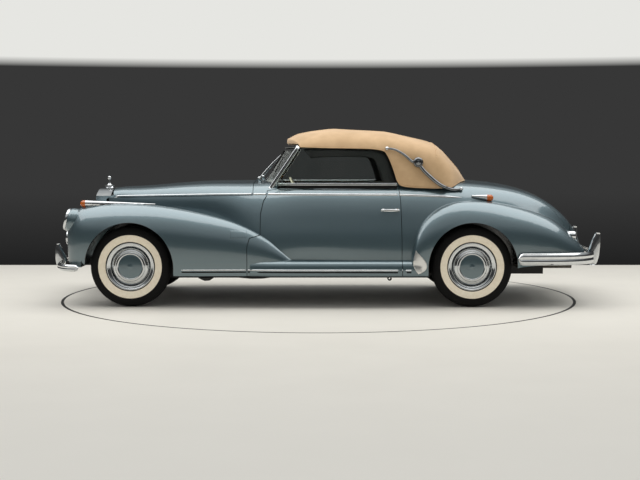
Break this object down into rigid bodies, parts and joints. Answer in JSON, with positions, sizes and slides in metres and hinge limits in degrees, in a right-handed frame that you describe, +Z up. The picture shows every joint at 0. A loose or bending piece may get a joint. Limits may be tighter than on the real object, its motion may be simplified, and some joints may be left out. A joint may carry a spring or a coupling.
{
  "type": "convertible car with soft top",
  "caption": "Long-bonnet convertible car with its cloth top up, flowing wings, whitewall tyres, hinged doors, bonnet and boot lid, and steered front wheels.",
  "frame": {"origin": "on the ground under the middle of the car's length and width", "axes": "+X forward, +Y to the car's left, +Z up"},
  "size_m": [4.758, 1.888, 1.5273],
  "materials": {
    "body_paint": "gloss",
    "top_cloth": "matte",
    "glass": "gloss",
    "chrome": "polished",
    "amber_lens": "gloss",
    "red_lens": "gloss",
    "tyre_rubber": "matte",
    "wheel_chrome": "polished",
    "chassis_black": "satin",
    "cast_iron": "matte",
    "steel": "satin",
    "wood": "gloss",
    "ivory_plastic": "gloss",
    "seat_leather": "satin"
  },
  "bodies": {
    "car_body": {"cowl": "body_paint", "front_wing_left": "body_paint", "front_wing_right": "body_paint", "rear_body": "body_paint", "rear_wing_left": "body_paint", "rear_wing_right": "body_paint", "soft_top": "top_cloth", "rear_window": "glass", "windscreen_glass": "glass", "headlamps": "glass", "fog_lamps": "glass", "windscreen_frame": "chrome", "radiator": "chrome", "front_bumper": "chrome", "rear_bumper": "chrome", "landau_bars": "chrome", "signal_housings": "chrome", "signal_lamps": "amber_lens", "tail_lamps": "red_lens", "front_suspension": "chassis_black", "rear_axle": "chassis_black", "chassis_frame": "chassis_black", "floor_pan": "chassis_black", "fuel_tank": "chassis_black", "engine_block": "cast_iron", "exhaust": "steel", "dashboard": "wood", "steering_wheel": "ivory_plastic", "front_seats": "seat_leather", "rear_seat": "seat_leather"},
    "door_left_body": {"door_left": "body_paint", "door_glass_left": "glass", "door_handle_left": "chrome"},
    "door_right_body": {"door_right": "body_paint", "door_glass_right": "glass", "door_handle_right": "chrome"},
    "bonnet_body": {"bonnet": "body_paint"},
    "boot_lid_body": {"boot_lid": "body_paint"},
    "knuckle_left_body": {"knuckle_left": "chassis_black"},
    "knuckle_right_body": {"knuckle_right": "chassis_black"},
    "roadwheel_front_left": {"tyre_front_left": "tyre_rubber", "wheel_front_left": "wheel_chrome"},
    "roadwheel_front_right": {"tyre_front_right": "tyre_rubber", "wheel_front_right": "wheel_chrome"},
    "roadwheel_rear_left": {"tyre_rear_left": "tyre_rubber", "wheel_rear_left": "wheel_chrome"},
    "roadwheel_rear_right": {"tyre_rear_right": "tyre_rubber", "wheel_rear_right": "wheel_chrome"}
  },
  "joints": [
    {"name": "door_left_hinge", "type": "hinge", "parent": "car_body", "child": "door_left_body", "pos_m": [0.6865, 0.917, 0.6], "axis": [0, 0, -1], "range_deg": [0, 65]},
    {"name": "door_right_hinge", "type": "hinge", "parent": "car_body", "child": "door_right_body", "pos_m": [0.6865, -0.917, 0.6], "axis": [0, 0, 1], "range_deg": [0, 65]},
    {"name": "bonnet_hinge", "type": "hinge", "parent": "car_body", "child": "bonnet_body", "pos_m": [0.65, 0, 1.06625], "axis": [0, -1, 0], "range_deg": [0, 55]},
    {"name": "boot_lid_hinge", "type": "hinge", "parent": "car_body", "child": "boot_lid_body", "pos_m": [-1.462, 0, 1.04668], "axis": [0, 1, 0], "range_deg": [0, 60]},
    {"name": "steer_left", "type": "hinge", "parent": "car_body", "child": "knuckle_left_body", "pos_m": [1.682, 0.64, 0.345], "axis": [0, 0, 1], "range_deg": [-30, 30]},
    {"name": "steer_right", "type": "hinge", "parent": "car_body", "child": "knuckle_right_body", "pos_m": [1.682, -0.64, 0.345], "axis": [0, 0, 1], "range_deg": [-30, 30]},
    {"name": "spin_front_left", "type": "hinge", "parent": "knuckle_left_body", "child": "roadwheel_front_left", "pos_m": [1.682, 0.74, 0.345], "axis": [0, 1, 0], "continuous": true},
    {"name": "spin_front_right", "type": "hinge", "parent": "knuckle_right_body", "child": "roadwheel_front_right", "pos_m": [1.682, -0.74, 0.345], "axis": [0, 1, 0], "continuous": true},
    {"name": "spin_rear_left", "type": "hinge", "parent": "car_body", "child": "roadwheel_rear_left", "pos_m": [-1.219, 0.7625, 0.345], "axis": [0, 1, 0], "continuous": true},
    {"name": "spin_rear_right", "type": "hinge", "parent": "car_body", "child": "roadwheel_rear_right", "pos_m": [-1.219, -0.7625, 0.345], "axis": [0, 1, 0], "continuous": true}
  ],
  "couplings": [
    {"joint": "steer_right", "follows": "steer_left", "ratio": 1}
  ]
}
